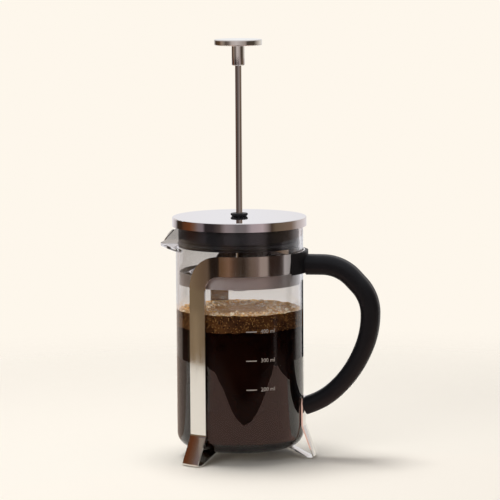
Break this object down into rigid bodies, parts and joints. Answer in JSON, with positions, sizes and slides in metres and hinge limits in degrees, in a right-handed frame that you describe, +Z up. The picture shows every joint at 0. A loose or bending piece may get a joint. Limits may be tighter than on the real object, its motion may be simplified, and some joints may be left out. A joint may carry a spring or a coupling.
{
  "type": "french press",
  "caption": "French press: glass beaker in a folded steel strip frame with a black side handle, a flat steel lid and a rod plunger with a coil-edged filter.",
  "frame": {"origin": "on the floor, under the centre of the bounding box; the beaker's axis is at x = -20.66 mm", "axes": "+Z up along the plunger, +X towards the handle, -X towards the spout, +Y across"},
  "size_m": [0.1498, 0.0976, 0.2829],
  "materials": {
    "clear_glass": "clear borosilicate",
    "polished_steel": "polished strip with fine grain",
    "mirror_steel": "mirror polished",
    "plain_steel": "turned steel",
    "steel_mesh": "fine woven wire",
    "black_plastic": "fine matte",
    "silicone": "satin silicone",
    "brass": "knurled"
  },
  "bodies": {
    "frame": {"front_frame": "polished_steel", "rear_leg": "polished_steel", "base_plate": "polished_steel", "base_rivets": "polished_steel", "handle_saddle": "black_plastic", "handle_grip": "black_plastic", "handle_inserts": "brass", "handle_screws": "plain_steel"},
    "beaker": {"glass_beaker": "clear_glass"},
    "seal": {"lid_seal": "silicone"},
    "lid": {"lid_cap": "mirror_steel", "lid_insert": "black_plastic"},
    "bushing": {"rod_bushing": "black_plastic", "bushing_nut": "black_plastic"},
    "plunger": {"plunger_rod": "plain_steel", "knob_disc": "mirror_steel", "knob_ferrule": "mirror_steel", "rod_collar": "plain_steel", "spiral_plate": "plain_steel", "filter_spring": "plain_steel", "filter_mesh": "steel_mesh", "cross_plate": "plain_steel", "filter_nut": "plain_steel"}
  },
  "joints": [
    {"name": "beaker_lift", "type": "slide", "parent": "frame", "child": "beaker", "axis": [0, 0, 1], "range_m": [0, 0.145]},
    {"name": "lid_lift", "type": "slide", "parent": "beaker", "child": "seal", "axis": [0, 0, 1], "range_m": [0, 0.165]},
    {"name": "lid_turn", "type": "hinge", "parent": "seal", "child": "lid", "pos_m": [-0.02066, 0, 0.16], "axis": [0, 0, 1], "continuous": true},
    {"name": "rod_turn", "type": "hinge", "parent": "lid", "child": "bushing", "pos_m": [-0.02066, 0, 0.16], "axis": [0, 0, 1], "continuous": true},
    {"name": "plunger_press", "type": "slide", "parent": "bushing", "child": "plunger", "axis": [0, 0, -1], "range_m": [-0.015, 0.099]}
  ]
}
